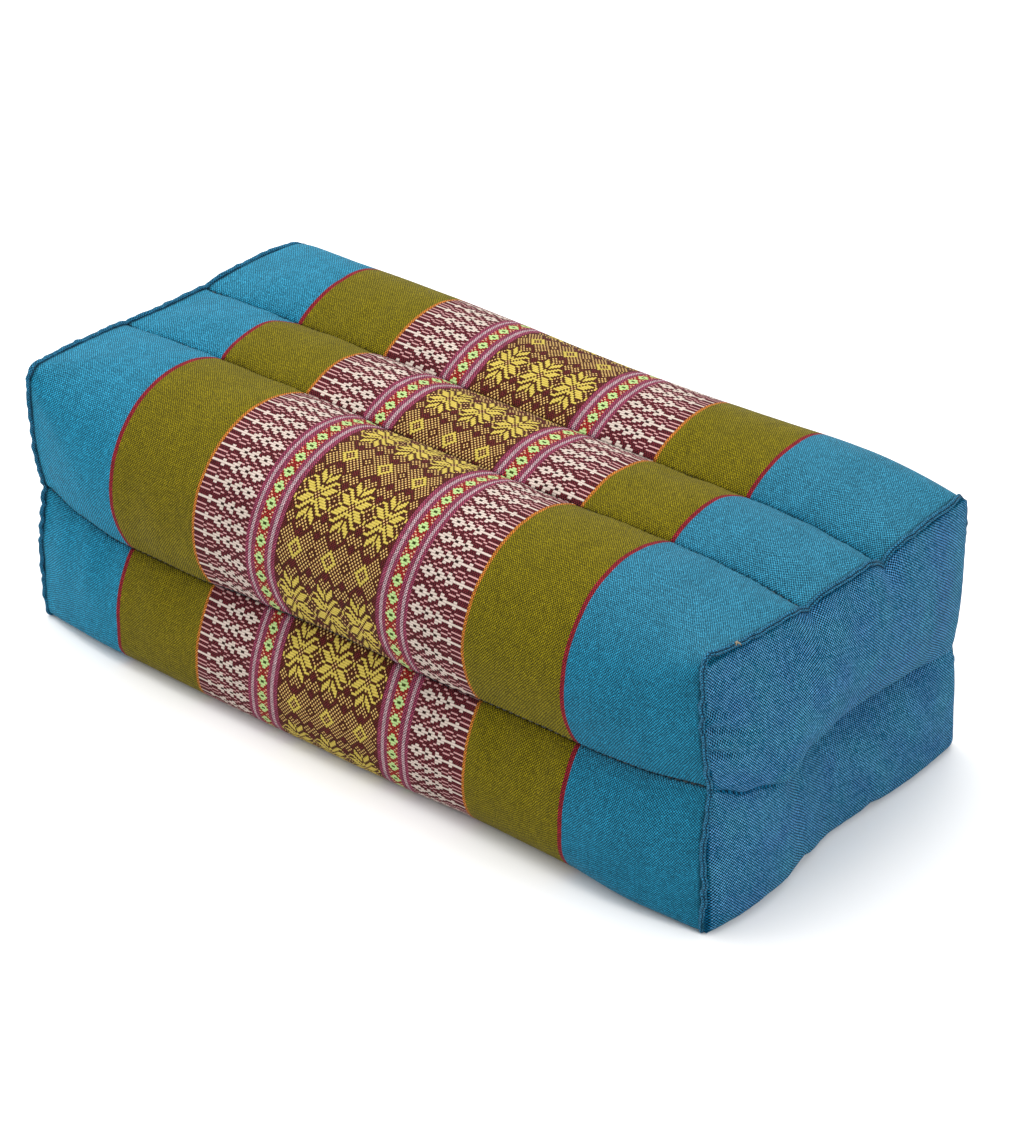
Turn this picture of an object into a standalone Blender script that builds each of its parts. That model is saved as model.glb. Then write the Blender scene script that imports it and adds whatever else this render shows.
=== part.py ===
"""A block floor cushion: a cloth wrap sewn into six channels, a panel at each end, and raised end seams.

Metres. +X runs along the cushion, +Y to its back and +Z up. The origin is under its middle, on the surface.
"""

import math

import bmesh
import bpy
from mathutils import Vector

# Length, and the bow of the top edge of each end between its corners
HALF_LENGTH = 0.1740
END_BOW = 0.0035
BOW_REACH = 6

# Sizes of the wrap's section: name, at the end seams, in the middle
SECTION = {
    "front width": (0.0818, 0.0905),
    "back width": (0.0818, 0.0855),
    "top height": (0.1165, 0.1220),
    "underside height": (0.0020, 0.0000),
    "front top radius": (0.0060, 0.0440),
    "back top radius": (0.0060, 0.0320),
    "bottom radius": (0.0040, 0.0100),
    "front seam height": (0.0610, 0.0565),
    "back seam height": (0.0490, 0.0540),
    "top groove": (0.0050, 0.0085),
    "side groove": (0.0040, 0.0100),
    "under groove": (0.0012, 0.0040),
}
SECTION_GROWTH = 0.052
UNDERSIDE_GROWTH = 0.035
TOP_SEAM_OFFSET = 0.0233

# How far from a seam its groove reaches along the cloth, and how sharply it deepens
GROOVE_REACH = {"top": 0.023, "side": 0.028, "under": 0.010}
GROOVE_POWER = 2.0

# Crown of each channel: name, at the ends, in the middle, height and phase of its unevenness
CROWN = {
    "front top": (0.0014, 0.0006, 0.0008, 0.15),
    "middle top": (0.0012, 0.0018, 0.0006, 0.55),
    "back top": (0.0016, 0.0044, 0.0012, 0.52),
    "back low": (0.0008, 0.0022, 0.0006, 0.35),
    "middle low": (0.0, 0.0, 0.0, 0.0),
    "front low": (0.0010, 0.0012, 0.0008, 0.50),
}
UNEVEN_LENGTH = 0.240

# End panels: cloth, gap to the body, inset from the seam, and how square their swells are
PANEL_THICKNESS = 0.0015
CLEARANCE = 0.0005
PANEL_INSET = 0.0021
BODY_INSET = 0.0015
BODY_SHOULDER = 0.0022
SLOPE_STEP = 0.0005
PANEL_EDGE_POWER = 3
SWELL_POWER = 2.5
SWELL_SAG = 0.8

# Fold across an end panel, a row for each place from front to back. The fold's height is a share of the
# panel's. Its depth is positive outward, and so are the swells above and below it and the bottom edge's toe.
FOLD_COLUMNS = ("across", "height", "depth", "swell above", "swell below", "toe")
RIGHT_FOLD = (
    (0.00, 0.52, 0.0000, 0.0060, 0.0070, 0.0045),
    (0.14, 0.42, 0.0040, 0.0075, 0.0080, 0.0055),
    (0.30, 0.36, 0.0050, 0.0085, 0.0075, 0.0050),
    (0.44, 0.36, -0.0030, 0.0105, 0.0020, -0.0005),
    (0.60, 0.34, -0.0110, 0.0115, 0.0010, -0.0010),
    (0.80, 0.35, -0.0100, 0.0095, 0.0040, 0.0010),
    (1.00, 0.40, 0.0000, 0.0070, 0.0050, 0.0000),
)
LEFT_FOLD = (
    (0.00, 0.52, 0.0000, 0.0065, 0.0055, 0.0000),
    (0.25, 0.48, -0.0060, 0.0100, 0.0045, 0.0010),
    (0.50, 0.42, -0.0090, 0.0115, 0.0030, 0.0000),
    (0.75, 0.38, 0.0020, 0.0105, 0.0060, 0.0010),
    (1.00, 0.42, 0.0000, 0.0060, 0.0060, 0.0000),
)

# Raised end seam
WELT_RADIUS = 0.0017

# Steps of the loft
CORNER_STEPS = 14
MIDDLE_STEPS = 8
HALF_STATIONS = 14
SEAM_CROWDING = 1.3

# Colours and finish: red, green, blue, roughness
FINISH = {
    "wrap": (0.045, 0.255, 0.420, 0.85),
    "panel": (0.030, 0.160, 0.310, 0.88),
    "welt": (0.012, 0.085, 0.170, 0.90),
}
COLLECTION_NAME = "block_cushion"


def clear_scene():
    for item in list(bpy.data.objects):
        bpy.data.objects.remove(item, do_unlink=True)


def mix(pair, amount):
    return pair[0] + (pair[1] - pair[0]) * amount


def ease_out(distance, reach):
    """0 at the end seam, rising fast and settling at 1 where the distance is the reach."""
    left = 1 - min(max(distance / reach, 0.0), 1.0)
    return 1 - left * left


def sizes_at(x):
    """The section's sizes, by name, at a place along the cushion."""
    from_end = HALF_LENGTH - abs(x)
    grown = ease_out(from_end, SECTION_GROWTH)
    sizes = {name: mix(pair, grown) for name, pair in SECTION.items()}
    sizes["underside height"] = mix(SECTION["underside height"], ease_out(from_end, UNDERSIDE_GROWTH))
    sizes["growth"] = grown
    return sizes


def straight_line(start, end, steps):
    """Places along a straight base line: point, outward normal and distance from the start."""
    run = end - start
    length = run.length
    along = run / length
    normal = Vector((-along.y, along.x))
    places = [(start + along * (length * i / steps), normal, length * i / steps) for i in range(steps + 1)]
    return places, length


def cornered_line(start, corner, end, radius, steps):
    """Places along a base line that turns a rounded corner; the middle place is the middle of the corner."""
    first = (corner - start).normalized()
    second = (end - corner).normalized()
    first_normal = Vector((-first.y, first.x))
    second_normal = Vector((-second.y, second.x))
    first_run = (corner - start).length - radius
    second_run = (end - corner).length - radius
    arc = radius * math.pi / 2
    centre = corner - first * radius + second * radius
    half = steps // 2
    halves = (first_run + arc / 2, arc / 2 + second_run)
    length = sum(halves)
    places = []
    for i in range(steps + 1):
        if i <= half:
            distance = halves[0] * (i / half) ** SEAM_CROWDING
        else:
            distance = length - halves[1] * ((steps - i) / half) ** SEAM_CROWDING
        turned = (distance - first_run) / radius
        if turned <= 0:
            point = start + first * distance
            normal = first_normal
        elif turned >= math.pi / 2:
            point = end - second * (length - distance)
            normal = second_normal
        else:
            normal = first_normal * math.cos(turned) + second_normal * math.sin(turned)
            point = centre + normal * radius
        places.append((point, normal, distance))
    return places, length


def groove(depth, distance, reach):
    return depth * max(0.0, 1 - distance / reach) ** GROOVE_POWER


def channels(x, inset=0.0):
    """The six channels of the section at x, as lists of (y, z) points from the front seam over the top."""
    size = sizes_at(x)
    front = -size["front width"] + inset
    back = size["back width"] - inset
    top = size["top height"] - inset
    low = size["underside height"] + inset
    side_front = Vector((front, size["front seam height"]))
    side_back = Vector((back, size["back seam height"]))
    top_seams = [Vector((-TOP_SEAM_OFFSET, top)), Vector((TOP_SEAM_OFFSET, top))]
    low_seams = [Vector((-TOP_SEAM_OFFSET, low)), Vector((TOP_SEAM_OFFSET, low))]
    top_front = size["front top radius"]
    top_back = size["back top radius"]
    bottom = size["bottom radius"]
    lines = (
        ("front top", "side", "top",
         cornered_line(side_front, Vector((front, top)), top_seams[0], top_front, CORNER_STEPS)),
        ("middle top", "top", "top", straight_line(top_seams[0], top_seams[1], MIDDLE_STEPS)),
        ("back top", "top", "side",
         cornered_line(top_seams[1], Vector((back, top)), side_back, top_back, CORNER_STEPS)),
        ("back low", "side", "under",
         cornered_line(side_back, Vector((back, low)), low_seams[1], bottom, CORNER_STEPS)),
        ("middle low", "under", "under", straight_line(low_seams[1], low_seams[0], MIDDLE_STEPS)),
        ("front low", "under", "side",
         cornered_line(low_seams[0], Vector((front, low)), side_front, bottom, CORNER_STEPS)),
    )
    made = []
    for name, first_seam, last_seam, (places, length) in lines:
        crown_end, crown_middle, wave, phase = CROWN[name]
        crown = mix((crown_end, crown_middle), size["growth"])
        crown += wave * size["growth"] * math.sin(2 * math.pi * (x / UNEVEN_LENGTH + phase))
        points = []
        for point, normal, distance in places:
            dip = groove(size[first_seam + " groove"], distance, GROOVE_REACH[first_seam])
            dip += groove(size[last_seam + " groove"], length - distance, GROOVE_REACH[last_seam])
            free = 1 + min(normal.y, 0.0)
            lift = crown * math.sin(math.pi * distance / length) * free
            points.append(point + normal * (lift - dip))
        made.append(points)
    return made


def outline(x, inset=0.0):
    """The closed outline of the section at x, each point once."""
    return [point for channel in channels(x, inset) for point in channel[:-1]]


def end_shares(y, z):
    """Where a point of an end panel lies between its notched edges, as shares across and up."""
    seam = SECTION["front seam height"][0] if y < 0 else SECTION["back seam height"][0]
    half_width = SECTION["front width"][0] - groove(SECTION["side groove"][0], abs(z - seam), GROOVE_REACH["side"])
    top = SECTION["top height"][0]
    low = SECTION["underside height"][0]
    for seam in (-TOP_SEAM_OFFSET, TOP_SEAM_OFFSET):
        top -= groove(SECTION["top groove"][0], abs(y - seam), GROOVE_REACH["top"])
        low += groove(SECTION["under groove"][0], abs(y - seam), GROOVE_REACH["under"])
    across = min(max((y / half_width + 1) / 2, 0.0), 1.0)
    up = min(max((z - low) / (top - low), 0.0), 1.0)
    return across, up


def read_fold(fold, across):
    """The fold's row at a share across the panel, smoothly between the rows given."""
    for first, second in zip(fold, fold[1:]):
        if across <= second[0]:
            break
    share = (across - first[0]) / (second[0] - first[0])
    share = share * share * (3 - 2 * share)
    return {name: mix((a, b), share) for name, a, b in zip(FOLD_COLUMNS, first, second)}


def seam_bow(y, z, fold):
    """How far an end seam stands out from the end's plane: a bow along the top and a toe along the bottom."""
    across = min(max(y / (2 * SECTION["front width"][0]) + 0.5, 0.0), 1.0)
    up = min(max(z / SECTION["top height"][0], 0.0), 1.0)
    bow = END_BOW * (1 - (2 * across - 1) ** 2)
    return bow * up + read_fold(fold, across)["toe"] * (1 - up)


def arch(share):
    return 1 - abs(2 * share - 1) ** SWELL_POWER


def relief(y, z, fold):
    """How far an end panel stands out from its seam: two swells with a fold between them."""
    across, up = end_shares(y, z)
    row = read_fold(fold, across)
    edge = 1 - abs(2 * across - 1) ** PANEL_EDGE_POWER
    if up > row["height"]:
        rise = (up - row["height"]) / (1 - row["height"])
        swell = row["swell above"] * arch(rise ** SWELL_SAG)
        drawn = row["depth"] * (1 - rise) ** 2
    else:
        rise = up / row["height"]
        swell = row["swell below"] * arch(rise)
        drawn = row["depth"] * rise ** 3
    return edge * (swell + drawn)


def end_patch(x, inset):
    """A grid of (y, z) points filling the section at x: rows from bottom to top, each from front to back."""
    ring = outline(x, inset)
    half = CORNER_STEPS // 2
    front_top = half
    back_top = front_top + CORNER_STEPS + MIDDLE_STEPS
    back_low = back_top + CORNER_STEPS
    front_low = back_low + CORNER_STEPS + MIDDLE_STEPS
    top = ring[front_top:back_top + 1]
    back = ring[back_top:back_low + 1][::-1]
    bottom = ring[back_low:front_low + 1][::-1]
    front = ring[front_low:] + ring[:front_top + 1]
    columns = len(top) - 1
    rows = len(front) - 1
    grid = []
    for j in range(rows + 1):
        v = j / rows
        line = []
        for i in range(columns + 1):
            u = i / columns
            between = bottom[i] * (1 - v) + top[i] * v + front[j] * (1 - u) + back[j] * u
            corners = (bottom[0] * (1 - u) + bottom[-1] * u) * (1 - v) + (top[0] * (1 - u) + top[-1] * u) * v
            line.append(between - corners)
        grid.append(line)
    return grid


def stand_out(y, z, fold):
    return relief(y, z, fold) + seam_bow(y, z, fold)


def end_point(point, side, fold, depth=0.0):
    """A point on an end panel's outer face, or that deep below it along the face's normal."""
    y, z = point
    here = stand_out(y, z, fold)
    slope_y = (stand_out(y + SLOPE_STEP, z, fold) - here) / SLOPE_STEP
    slope_z = (stand_out(y, z + SLOPE_STEP, fold) - here) / SLOPE_STEP
    return Vector((side * (HALF_LENGTH + here - depth * math.hypot(1, slope_y, slope_z)), y, z))


def stations():
    """Places along the cushion, closer together towards the ends."""
    ends = HALF_LENGTH - BODY_SHOULDER
    right = [ends * (1 - (i / HALF_STATIONS) ** 2) for i in range(HALF_STATIONS)]
    return [-x for x in right] + [0.0] + right[::-1]


def body_ring(x):
    """One ring of the wrap: the outline, bowed out towards the ends."""
    share = math.copysign((abs(x) / HALF_LENGTH) ** BOW_REACH, x)
    fold = LEFT_FOLD if x < 0 else RIGHT_FOLD
    return [Vector((x + share * seam_bow(y, z, fold), y, z)) for y, z in outline(x)]


def rim_of(grid):
    """A grid's border in the outline's order, starting at the front seam."""
    middle = CORNER_STEPS // 2
    front = [row[0] for row in grid]
    back = [row[-1] for row in grid]
    return front[middle:-1] + grid[-1][:-1] + back[:0:-1] + grid[0][:0:-1] + front[:middle]


def finish_material(name):
    red, green, blue, roughness = FINISH[name]
    material = bpy.data.materials.new(name + " cloth")
    material.use_nodes = True
    shader = material.node_tree.nodes["Principled BSDF"]
    shader.inputs["Base Color"].default_value = (red, green, blue, 1)
    shader.inputs["Roughness"].default_value = roughness
    shader.inputs["Metallic"].default_value = 0
    return material


def add_mesh_part(name, work, finish, collection):
    mesh = bpy.data.meshes.new(name)
    work.to_mesh(mesh)
    work.free()
    mesh.materials.append(finish_material(finish))
    mesh.shade_smooth()
    mesh.set_sharp_from_angle(angle=math.radians(40))
    part = bpy.data.objects.new(name, mesh)
    collection.objects.link(part)
    return part


def add_grid_faces(work, grid):
    for low_row, high_row in zip(grid, grid[1:]):
        for i in range(len(low_row) - 1):
            work.faces.new((low_row[i], low_row[i + 1], high_row[i + 1], high_row[i]))


def build_body(collection):
    """The filled cushion: a loft through the sections, closed by a folded face at each end."""
    work = bmesh.new()
    rings = []
    for x in stations():
        rings.append([work.verts.new(point) for point in body_ring(x)])
    caps = []
    for side, fold in ((-1, LEFT_FOLD), (1, RIGHT_FOLD)):
        patch = end_patch(HALF_LENGTH, BODY_INSET)
        depth = PANEL_THICKNESS + CLEARANCE
        cap = [[work.verts.new(end_point(point, side, fold, depth)) for point in row] for row in patch]
        add_grid_faces(work, cap)
        caps.append(rim_of(cap))
    rings = [caps[0]] + rings + [caps[1]]
    count = len(rings[0])
    for first, second in zip(rings, rings[1:]):
        for i in range(count):
            j = (i + 1) % count
            work.faces.new((first[i], first[j], second[j], second[i]))
    bmesh.ops.recalc_face_normals(work, faces=work.faces)
    return add_mesh_part("cushion_body", work, "wrap", collection)


def build_end_panel(name, side, fold, collection):
    """An end panel: one sheet over the folded end face, inside the raised seam."""
    work = bmesh.new()
    patch = end_patch(HALF_LENGTH, PANEL_INSET)
    add_grid_faces(work, [[work.verts.new(end_point(point, side, fold)) for point in row] for row in patch])
    if side < 0:
        bmesh.ops.reverse_faces(work, faces=work.faces)
    part = add_mesh_part(name, work, "panel", collection)
    sheet = part.modifiers.new("sheet", "SOLIDIFY")
    sheet.thickness = PANEL_THICKNESS
    sheet.offset = -1
    return part


def build_welt(name, side, fold, collection):
    """The raised seam round an end: a closed tube that follows the section's outline."""
    curve = bpy.data.curves.new(name, "CURVE")
    curve.dimensions = "3D"
    curve.bevel_depth = WELT_RADIUS
    curve.bevel_resolution = 2
    points = outline(HALF_LENGTH)
    spline = curve.splines.new("POLY")
    spline.points.add(len(points) - 1)
    for item, point in zip(spline.points, points):
        y, z = point
        item.co = (side * (HALF_LENGTH + seam_bow(y, z, fold)), y, z, 1)
    spline.use_cyclic_u = True
    curve.materials.append(finish_material("welt"))
    part = bpy.data.objects.new(name, curve)
    collection.objects.link(part)
    return part


def main():
    clear_scene()
    collection = bpy.data.collections.new(COLLECTION_NAME)
    bpy.context.scene.collection.children.link(collection)
    build_body(collection)
    for side, word, fold in ((-1, "left", LEFT_FOLD), (1, "right", RIGHT_FOLD)):
        build_end_panel("end_panel_" + word, side, fold, collection)
        build_welt("seam_welt_" + word, side, fold, collection)


main()
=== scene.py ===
"""The looks of the block cushion: wrap, end panels, raised seams, sewing and woven pattern.

Metres, and millimetres in cloth coordinates. +X runs along the cushion, +Y to its back and +Z up, as in the CAD part.
"""
import math

import bpy
import numpy as np
from mathutils import Matrix, Vector


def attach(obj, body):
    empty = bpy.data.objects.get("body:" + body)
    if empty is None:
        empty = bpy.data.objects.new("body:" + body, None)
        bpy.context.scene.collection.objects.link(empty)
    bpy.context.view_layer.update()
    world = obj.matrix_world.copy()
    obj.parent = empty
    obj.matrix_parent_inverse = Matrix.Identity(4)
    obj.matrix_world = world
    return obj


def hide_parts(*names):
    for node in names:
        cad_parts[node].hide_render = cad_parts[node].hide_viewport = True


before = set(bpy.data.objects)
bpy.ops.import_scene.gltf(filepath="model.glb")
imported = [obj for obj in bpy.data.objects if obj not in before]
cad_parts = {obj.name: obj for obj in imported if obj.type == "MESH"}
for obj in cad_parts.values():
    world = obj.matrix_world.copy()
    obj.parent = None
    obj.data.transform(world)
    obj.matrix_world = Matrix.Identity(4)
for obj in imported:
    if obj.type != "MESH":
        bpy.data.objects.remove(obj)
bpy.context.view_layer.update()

# ---------------------------------------------------------------- sizes, mostly as in the CAD part

HALF_LENGTH = 0.1740
END_BOW = 0.0035
BOW_POWER = 6
# Each size: at the left end, in the middle, at the right end
SECTION = {
    "front width": (0.0818, 0.0905, 0.0818),
    "back width": (0.0818, 0.0855, 0.0818),
    "top height": (0.1165, 0.1220, 0.1134),
    "front top radius": (0.0042, 0.0440, 0.0042),
    "back top radius": (0.0100, 0.0320, 0.0085),
    "bottom radius": (0.0032, 0.0105, 0.0015),
    "front seam height": (0.0610, 0.0565, 0.0610),
    "back seam height": (0.0490, 0.0540, 0.0490),
}
SECTION_GROWTH = 0.052
TOP_SEAM_OFFSET = 0.0233
# How deep and how wide the cloth is drawn in at each seam, in the same three places
GROOVES = {
    "side front": ((0.0040, 0.0100, 0.0040), (0.028, 0.028, 0.028)),
    "side back": ((0.0040, 0.0100, 0.0040), (0.028, 0.028, 0.028)),
    "top front": ((0.0022, 0.0072, 0.0034), (0.014, 0.023, 0.012)),
    "top back": ((0.0022, 0.0072, 0.0056), (0.014, 0.023, 0.013)),
    "under front": ((0.0012, 0.0040, 0.0028), (0.010, 0.010, 0.010)),
    "under back": ((0.0012, 0.0040, 0.0018), (0.010, 0.010, 0.010)),
}
GROOVE_POWER = 2.0
# The seams don't run quite level: place along the cushion, how far the seam lies below its even line
FRONT_SEAM_DROP = np.array((
    (-0.174, 0.0000), (-0.152, 0.0030), (-0.128, 0.0050), (-0.086, 0.0050), (-0.051, 0.0030), (0.000, 0.0014),
    (0.040, 0.0020), (0.100, 0.0006), (0.174, 0.0004),
))
TOP_SEAM_DROP = np.array((
    (-0.174, 0.0000), (-0.140, -0.0013), (-0.060, -0.0014), (-0.020, 0.0002), (0.040, 0.0000), (0.110, -0.0010),
    (0.150, -0.0004), (0.174, 0.0000),
))
# Added to the bottom edges' radius, by the place along the cushion
BOTTOM_WEAR = np.array((
    (-0.174, 0.0), (-0.100, 0.0), (0.020, 0.001), (0.085, 0.0050), (0.115, 0.0050), (0.150, 0.0), (0.174, 0.0),
))
# How far each channel's middle stands out at the left end, in the middle and at the right end, then the height and
# phase of its waves
CROWN = {
    "front top": (0.0014, 0.0006, 0.0000, 0.0008, 0.15),
    "middle top": (-0.0012, 0.0010, 0.0004, 0.0006, 0.55),
    "back top": (0.0050, 0.0056, 0.0010, 0.0010, 0.62),
    "back low": (0.0008, 0.0022, 0.0008, 0.0006, 0.35),
    "middle low": (0.0, 0.0, 0.0, 0.0, 0.0),
    "front low": (0.0010, 0.0012, 0.0010, 0.0008, 0.50),
}
UNEVEN_LENGTH = 0.240
# The cloth stands up at the right end's front top corner
CORNER_RISE = (0.0, 0.0, 0.0034)
CORNER_REACH = 0.012
# It sinks right at the back top corner of the left end
BACK_DROP = 0.0034
BACK_DROP_REACH = 0.006
# How far out each end seam stands where the top seams meet it
NOTCH_OUT = {-1: 0.0022, 1: -0.0022}
NOTCH_REACH = 0.007
# A kink of the left end seam near its bottom front corner: height, reach, depth
KINK = (0.028, 0.0045, 0.0018)
KINK_WIDTH = 0.15
# Height over which the notches of the end's outline fade out on the panel
NOTCH_FADE = 0.006
PANEL_EDGE_POWER = 3
SWELL_POWER = 2.5
SWELL_SAG = 0.7
LOWER_SOFTNESS = 0.17
UNDERCUT_POWER = 4.5
# The folds of the end panels, by shares of the panel's width and height from its bottom front corner
FOLD_COLUMNS = ("across", "height", "depth", "swell above", "swell below", "toe")
FOLDS = {
    -1: np.array((
        (0.00, 0.52, 0.0000, 0.0065, 0.0055, 0.0022),
        (0.25, 0.48, -0.0060, 0.0100, 0.0045, 0.0010),
        (0.50, 0.42, -0.0090, 0.0115, 0.0030, 0.0000),
        (0.75, 0.38, 0.0020, 0.0105, 0.0060, 0.0010),
        (1.00, 0.42, 0.0000, 0.0060, 0.0060, 0.0000),
    )),
    1: np.array((
        (0.00, 0.52, 0.0000, 0.0060, 0.0070, 0.0045),
        (0.12, 0.462, 0.0040, 0.0070, 0.0075, 0.0055),
        (0.24, 0.42, 0.0045, 0.0085, 0.0070, 0.0046),
        (0.35, 0.42, -0.0070, 0.0108, 0.0028, 0.0018),
        (0.49, 0.41, -0.0128, 0.0115, 0.0010, -0.0012),
        (0.80, 0.40, -0.0100, 0.0095, 0.0030, 0.0010),
        (1.00, 0.41, 0.0000, 0.0070, 0.0030, 0.0000),
    )),
}
# The channels in order round the section, each with its first and its last seam
CHANNEL_SEAMS = {
    "front top": ("side front", "top front"),
    "middle top": ("top front", "top back"),
    "back top": ("top back", "side back"),
    "back low": ("side back", "under back"),
    "middle low": ("under back", "under front"),
    "front low": ("under front", "side front"),
}


def add_object(name, data):
    """A new object in the scene."""
    thing = bpy.data.objects.new(name, data)
    bpy.context.scene.collection.objects.link(thing)
    return thing


# ---------------------------------------------------------------- camera and light

CAMERA_AZIMUTH, CAMERA_ELEVATION, CAMERA_ROLL = (math.radians(a) for a in (41.61, 29.67, -0.71))
CAMERA_DISTANCE = 1.35
CAMERA_TARGET = Vector((0, 0, 0.1163 / 2))
PHOTO_HEIGHT = 1143
FOCAL_PIXELS = 3347.5
SHIFT_PIXELS = (22.7, -16.6)
SENSOR_WIDTH = 36


def build_camera():
    turn = math.cos(CAMERA_ELEVATION)
    back = Vector((math.sin(CAMERA_AZIMUTH) * turn, -math.cos(CAMERA_AZIMUTH) * turn, math.sin(CAMERA_ELEVATION)))
    right = Vector((math.cos(CAMERA_AZIMUTH), math.sin(CAMERA_AZIMUTH), 0))
    up = back.cross(right)
    c, s = math.cos(CAMERA_ROLL), math.sin(CAMERA_ROLL)
    pose = Matrix((c * right + s * up, -s * right + c * up, back)).transposed().to_4x4()
    pose.translation = CAMERA_TARGET + back * CAMERA_DISTANCE
    data = bpy.data.cameras.new("camera")
    data.sensor_width = SENSOR_WIDTH
    data.lens = FOCAL_PIXELS / PHOTO_HEIGHT * SENSOR_WIDTH
    data.shift_x, data.shift_y = (shift / PHOTO_HEIGHT for shift in SHIFT_PIXELS)
    camera = add_object("camera", data)
    camera.matrix_world = pose
    bpy.context.scene.camera = camera


# name: place, size, watts, colour
LIGHTS = {
    "overhead": ((-0.35, 0.25, 1.50), 1.6, 26.0, (1.0, 0.99, 0.97)),
    "left": ((-1.50, -0.55, 0.95), 2.3, 26.0, (1.0, 1.0, 1.0)),
    "right": ((1.7, -0.1, 0.9), 1.4, 16.0, (0.96, 0.98, 1.0)),
}
LIGHT_TARGET = Vector((0, 0, 0.05))
WORLD_STRENGTH = 0.66


def build_lights():
    for name, (place, size, watts, colour) in LIGHTS.items():
        data = bpy.data.lights.new(name, "AREA")
        data.energy, data.size, data.color = watts, size, colour
        light = add_object(name, data)
        light.location = place
        light.rotation_euler = (LIGHT_TARGET - Vector(place)).to_track_quat("-Z", "Y").to_euler()
    world = bpy.data.worlds.new("studio")
    world.use_nodes = True
    background = world.node_tree.nodes["Background"]
    background.inputs["Color"].default_value = (1, 1, 1, 1)
    background.inputs["Strength"].default_value = WORLD_STRENGTH
    bpy.context.scene.world = world
    bpy.context.scene.view_settings.view_transform = "Standard"


# ---------------------------------------------------------------- node materials

RAMP_ROWS = 32
# Keeps a set of bits from falling just short of its whole number
BIT_MARGIN = 0.002


class Value:
    """A socket of a material's nodes. The arithmetic in OPERATIONS makes a new node for each new value."""

    def __init__(self, nodes, socket):
        self.nodes, self.socket = nodes, socket

    def __rsub__(self, other):
        return self.nodes.math("SUBTRACT", other, self)

    def __rpow__(self, base):
        return self.nodes.math("POWER", base, self)

    def sine(self, length):
        """A wave of this length."""
        return self.nodes.math("SINE", self * (2 * math.pi / length))

    def between(self, low, high):
        return (self > low) * (self < high)

    def mirrored(self, count):
        """Whole places from 0 to a count and back again, over and over."""
        return abs((self + count) % (2 * count) - count)

    def ramp(self, low, high, first=0.0, last=1.0):
        """From first to last while the value goes from low to high."""
        return self.nodes.node("MapRange", dict(enumerate((self, low, high, first, last))))

    def vary(self, spread, low=0.3, high=0.7):
        """A factor about 1, that grows while the value goes from low to high."""
        return self.ramp(low, high, 1 - spread, 1 + spread)

    def bit(self, column):
        """1 where the set of bits has one for the column."""
        return (self / 2.0 ** column + BIT_MARGIN).floor() % 2.0 > 0.5


OPERATIONS = {
    "__add__": "ADD", "__sub__": "SUBTRACT", "__mul__": "MULTIPLY", "__truediv__": "DIVIDE", "__pow__": "POWER",
    "__mod__": "FLOORED_MODULO", "__gt__": "GREATER_THAN", "__lt__": "LESS_THAN", "__abs__": "ABSOLUTE",
    "floor": "FLOOR",
}
for method, operation in OPERATIONS.items():
    setattr(Value, method, lambda *values, operation=operation: values[0].nodes.math(operation, *values))


class Nodes:
    """A material's node tree. Values are Value, numbers or vectors, and colours may be as in a picture, 0 to 255."""

    def __init__(self, name):
        self.material = bpy.data.materials.new(name)
        self.material.use_nodes = True
        self.tree = self.material.node_tree
        self.shader = self.tree.nodes["Principled BSDF"]
        self.shader.inputs["Metallic"].default_value = 0

    def put(self, socket, value):
        if isinstance(value, Value):
            self.tree.links.new(value.socket, socket)
        else:
            socket.default_value = value

    def node(self, kind, inputs, output=0, **settings):
        """One output of a new node with these inputs, by name or number, and these settings."""
        node = self.tree.nodes.new("ShaderNode" + kind)
        for name, setting in settings.items():
            setattr(node, name, setting)
        for name, value in inputs.items():
            self.put(node.inputs[name], value)
        return Value(self, node.outputs[output])

    def math(self, operation, *values):
        return self.node("Math", dict(enumerate(values)), operation=operation)

    def parts(self, value, kind="SeparateXYZ"):
        return [Value(self, socket) for socket in self.node(kind, {0: value}).socket.node.outputs]

    def uv(self, name):
        return self.parts(self.node("UVMap", {}, uv_map=name))[:2]

    def facing_up(self):
        """How far the surface faces up, 1 where it is level."""
        return self.parts(self.node("NewGeometry", {}, "Normal"))[2]

    def vector(self, *place):
        return self.node("CombineXYZ", dict(enumerate(place)))

    def noise(self, place, scale=1.0, detail=2.0, roughness=0.5):
        vector = self.vector(*place) if isinstance(place, tuple) else place
        return self.node("TexNoise", {"Vector": vector, "Scale": scale, "Detail": detail, "Roughness": roughness})

    def scatter(self, *place):
        """A number from 0 to 1 for a whole place, without order."""
        return self.node("TexWhiteNoise", {"Vector": self.vector(*place)}, noise_dimensions="2D")

    def mix(self, amount, a, b):
        return self.node("Mix", {0: amount, 6: linear(a), 7: linear(b)}, 2, data_type="RGBA")

    def chart(self, rows, row, scale):
        """Three numbers of a chart's row, by the row's index: each a set of bits for the columns."""
        steps = self.node("ValToRGB", {0: (row + 0.5) / RAMP_ROWS})
        ramp = steps.socket.node.color_ramp
        ramp.interpolation = "CONSTANT"
        while len(ramp.elements) < len(rows):
            ramp.elements.new(1.0)
        for index in range(len(rows)):
            ramp.elements[index].position = index / RAMP_ROWS
        for index, bits in enumerate(rows):
            ramp.elements[index].color = tuple(b / scale for b in bits) + (1.0,)
        return [part * scale for part in self.parts(steps, "SeparateColor")]

    def finish(self, colour, tone, surface, relief=None, hue=0.5, saturation=1.0):
        """Joins colour and relief (height, distance, strength) to the shader, and sets its constants."""
        tinted = self.node("HueSaturation", {"Color": linear(colour), "Value": tone, "Hue": hue,
                                             "Saturation": saturation})
        self.put(self.shader.inputs["Base Color"], tinted)
        if relief:
            self.put(self.shader.inputs["Normal"], self.node("Bump", dict(zip(("Height", "Distance", "Strength"),
                                                                              relief))))
        for name, constant in surface.items():
            self.shader.inputs[name].default_value = constant
        return self.material


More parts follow.
